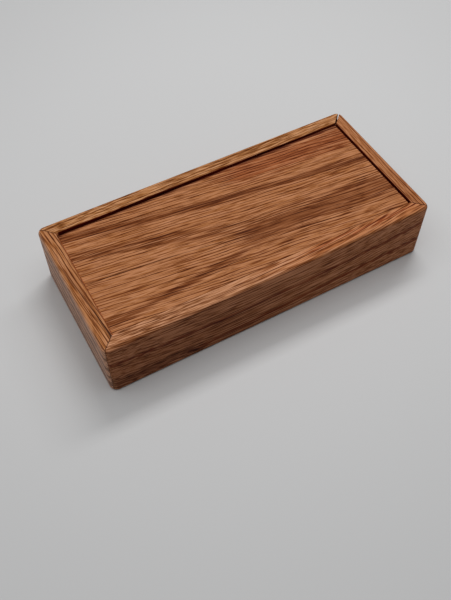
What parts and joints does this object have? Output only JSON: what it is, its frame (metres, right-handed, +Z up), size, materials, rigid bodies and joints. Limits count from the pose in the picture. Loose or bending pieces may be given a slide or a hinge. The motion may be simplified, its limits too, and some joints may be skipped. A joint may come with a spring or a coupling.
{
  "type": "sliding lid box",
  "caption": "Long low wooden box with mitred rails and a recessed raised panel lid that slides out at its end, in grooves under the rims.",
  "frame": {"origin": "on the ground, under the middle of the closed box", "axes": "+X along the box towards the end through which the lid slides out, +Y to the rear, +Z up"},
  "size_m": [0.24, 0.1106, 0.047],
  "materials": {
    "rail_wood": "satin oiled oak",
    "panel_wood": "satin oiled oak",
    "board_wood": "bare oak"
  },
  "bodies": {
    "box": {"front_wall": "rail_wood", "rear_wall": "rail_wood", "left_end_wall": "rail_wood", "right_end_wall": "rail_wood", "bottom_board": "board_wood"},
    "lid": {"lid_panel": "panel_wood", "lid_end_lip": "rail_wood"}
  },
  "joints": [
    {"name": "lid_slide", "type": "slide", "parent": "box", "child": "lid", "axis": [1, 0, 0], "range_m": [0, 0.228]}
  ]
}
